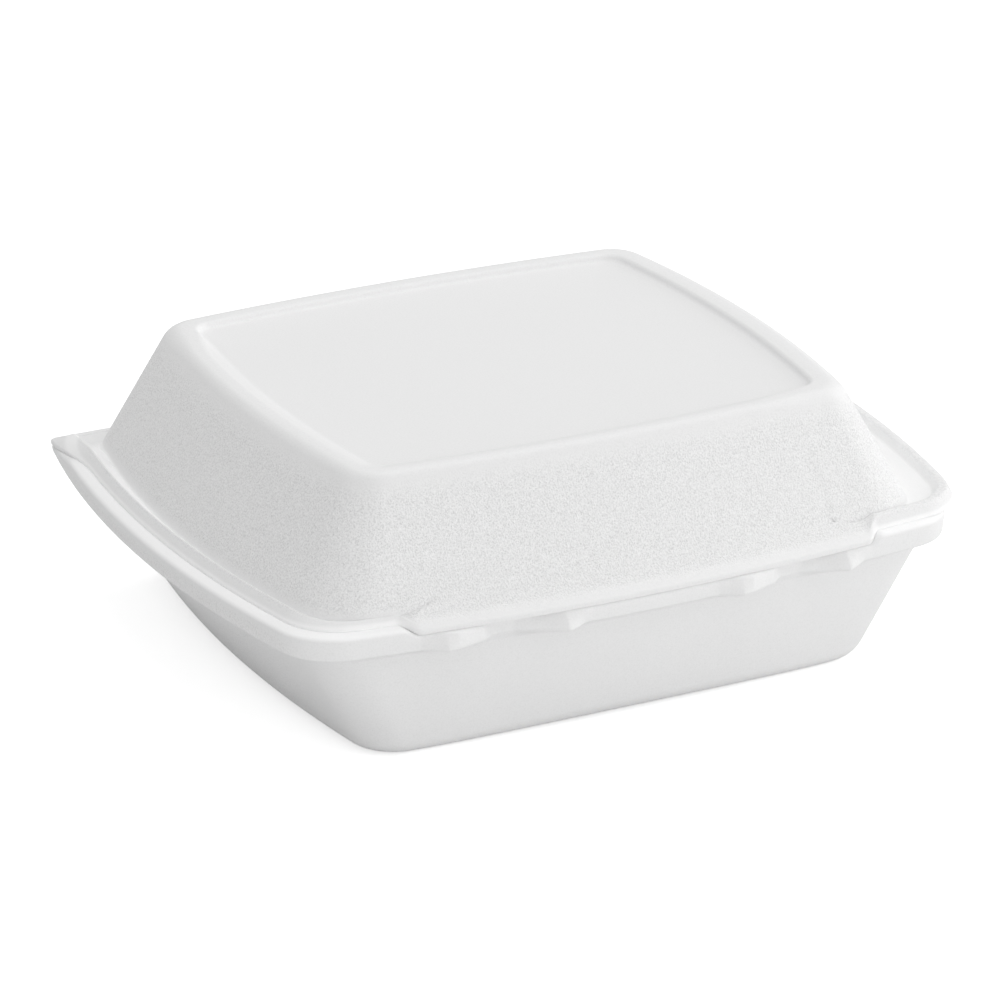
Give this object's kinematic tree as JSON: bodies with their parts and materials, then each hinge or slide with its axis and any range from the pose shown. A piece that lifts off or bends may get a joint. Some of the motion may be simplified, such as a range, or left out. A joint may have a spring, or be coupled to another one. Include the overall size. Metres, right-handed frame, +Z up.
{
  "type": "foam clamshell container",
  "caption": "White foam takeaway clamshell with a bowed rectangular tray, a domed lid with a sunk top panel, a rear hinge line and two front closures.",
  "frame": {"origin": "on the surface the tray stands on, in the middle of the rim's width", "axes": "X runs along the front edge, -Y is the front with the closures, +Y the hinge, +Z up"},
  "size_m": [0.2166, 0.1793, 0.0764],
  "materials": {
    "foam": "moulded white foam with fine closed cells, satin matte"
  },
  "bodies": {
    "tray": {"base_tray": "foam"},
    "lid": {"hinged_lid": "foam"}
  },
  "joints": [
    {"name": "lid_hinge", "type": "hinge", "parent": "tray", "child": "lid", "pos_m": [0, 0.083, 0.0369], "axis": [-1, 0, 0], "range_deg": [0, 165]}
  ]
}
